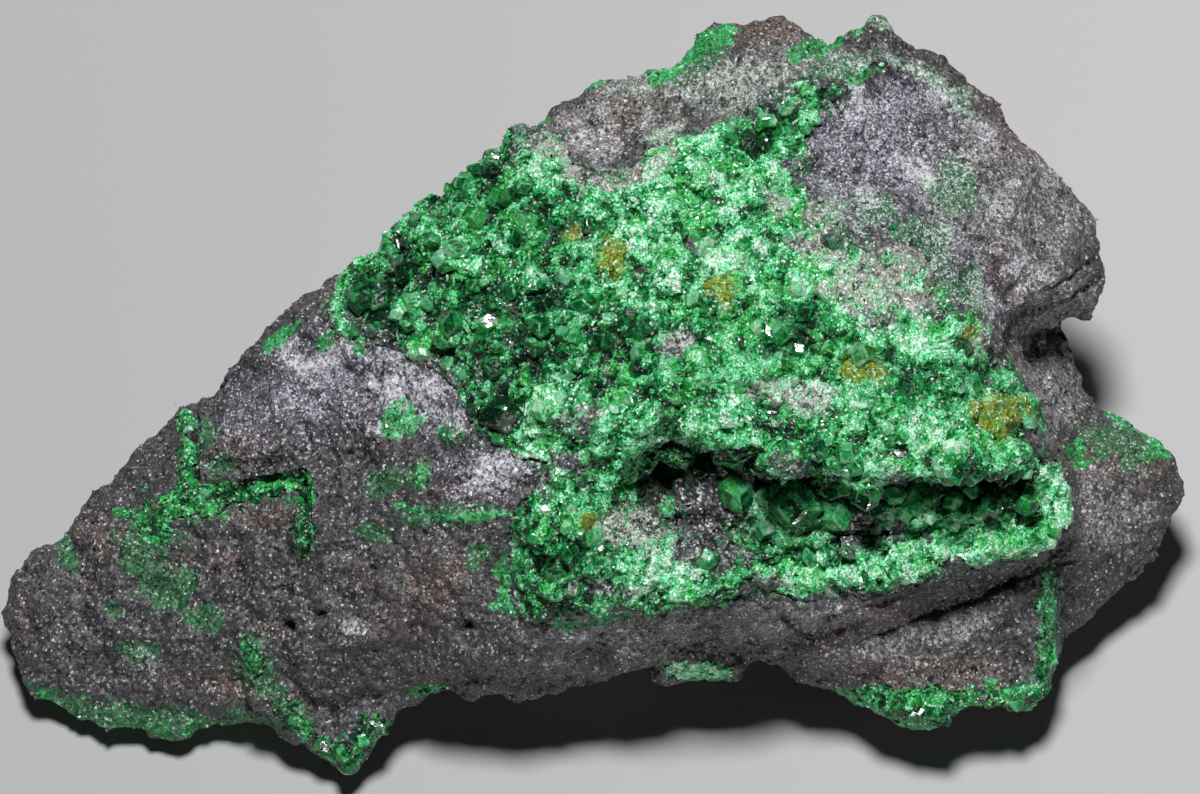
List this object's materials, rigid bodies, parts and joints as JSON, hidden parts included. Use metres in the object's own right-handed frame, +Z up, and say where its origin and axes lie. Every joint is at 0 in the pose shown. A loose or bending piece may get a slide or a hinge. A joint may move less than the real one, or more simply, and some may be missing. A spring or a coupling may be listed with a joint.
{
  "type": "mineral specimen",
  "caption": "Lump of dark chromite with a druse of green garnet crystals over its upper face, an open cleft lined with larger crystals under a lip, and a flat underside.",
  "frame": {"origin": "bottom centre of the bounding box, on the surface that the stone lies on", "axes": "+X to the right along the stone's longest side as the picture shows it, +Y away from the viewer, +Z up"},
  "size_m": [0.0653, 0.0384, 0.023],
  "materials": {
    "chromite": "granular, with small glints",
    "garnet": "sugary crystalline, glossy facets",
    "dark_garnet": "glassy facets"
  },
  "bodies": {
    "root": {"chromite_matrix": "chromite", "garnet_crust": "garnet", "pocket_crystals": "dark_garnet", "fissure_crystals": "dark_garnet", "left_rim_crystals": "dark_garnet", "right_rim_crystals": "dark_garnet", "underside_crystals": "dark_garnet"}
  },
  "joints": []
}
